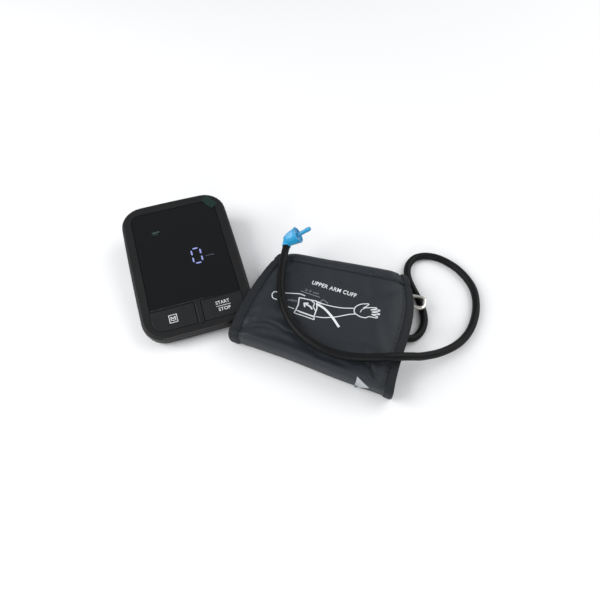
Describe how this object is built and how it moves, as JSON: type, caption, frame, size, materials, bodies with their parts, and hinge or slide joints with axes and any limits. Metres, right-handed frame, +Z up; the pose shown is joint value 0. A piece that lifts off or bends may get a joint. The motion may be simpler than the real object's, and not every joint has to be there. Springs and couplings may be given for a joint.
{
  "type": "upper arm blood pressure monitor",
  "caption": "Wedge-shaped desktop blood pressure monitor with a window and push buttons, and a folded arm cuff on an air hose with an unplugged elbow plug.",
  "frame": {"origin": "on the table, centred below the box round the console and the folded cuff", "axes": "+Z up, +Y from the console's front edge towards its back, +X from the console towards the cuff"},
  "size_m": [0.3101, 0.2546, 0.0475],
  "materials": {
    "case_grey": "satin",
    "button_grey": "matte",
    "window_black": "gloss",
    "module_black": "matte",
    "board_green": "satin",
    "steel": "satin",
    "nickel": "polished",
    "brass": "satin",
    "white_plastic": "satin",
    "clear_silicone": "satin",
    "rubber_black": "matte",
    "cell_wrap": "gloss",
    "cuff_nylon": "matte",
    "binding_tape": "matte",
    "bladder_film": "matte",
    "hook_tape": "matte",
    "plug_blue": "satin",
    "film_green": "gloss"
  },
  "bodies": {
    "console": {"air_manifold": "white_plastic", "air_socket": "white_plastic", "battery_1": "cell_wrap", "battery_2": "cell_wrap", "battery_3": "cell_wrap", "battery_4": "cell_wrap", "buzzer": "module_black", "case_screw_1": "steel", "case_screw_2": "steel", "case_screw_3": "steel", "case_screw_4": "steel", "contact_plate_1": "brass", "contact_plate_2": "brass", "contact_plate_3": "brass", "contact_plate_4": "brass", "contact_spring_1": "nickel", "contact_spring_2": "nickel", "contact_spring_3": "nickel", "contact_spring_4": "nickel", "display_module": "module_black", "film_tab": "film_green", "lower_case": "case_grey", "main_board": "board_green", "memory_switch": "steel", "power_jack": "nickel", "pressure_sensor": "module_black", "pump_head": "white_plastic", "pump_motor": "steel", "pump_tube": "clear_silicone", "release_valve": "steel", "rubber_foot_1": "rubber_black", "rubber_foot_2": "rubber_black", "rubber_foot_3": "rubber_black", "rubber_foot_4": "rubber_black", "screen_window": "window_black", "sensor_tube": "clear_silicone", "start_switch": "steel", "upper_case": "case_grey", "valve_tube": "clear_silicone"},
    "memory_button": {"memory_button": "button_grey"},
    "start_button": {"start_button": "button_grey"},
    "battery_door": {"battery_door": "case_grey"},
    "cuff": {"cuff_cover": "cuff_nylon", "cuff_tail": "cuff_nylon", "hook_patch": "hook_tape", "air_bladder": "bladder_film", "left_binding": "binding_tape", "right_binding": "binding_tape", "ring_sleeve": "cuff_nylon", "hose_port": "rubber_black", "air_hose": "rubber_black", "air_plug": "plug_blue"},
    "ring": {"d_ring": "nickel"}
  },
  "joints": [
    {"name": "memory_press", "type": "slide", "parent": "console", "child": "memory_button", "axis": [0, 0.1495, -0.9888], "range_m": [0, 0.0006], "stiffness_N_per_m": 1500, "springref_m": -0.0004},
    {"name": "start_press", "type": "slide", "parent": "console", "child": "start_button", "axis": [0, 0.1495, -0.9888], "range_m": [0, 0.0006], "stiffness_N_per_m": 1500, "springref_m": -0.0004},
    {"name": "battery_door_slide", "type": "slide", "parent": "console", "child": "battery_door", "axis": [0, 1, 0], "range_m": [0, 0.056]},
    {"name": "cuff_lift", "type": "slide", "parent": "console", "child": "cuff", "axis": [0, 0, 1], "range_m": [0, 0.12]},
    {"name": "ring_swing", "type": "hinge", "parent": "cuff", "child": "ring", "pos_m": [0.06827, -0.01236, 0.011], "axis": [0.8572, -0.515, 0], "range_deg": [-8, 0]}
  ]
}
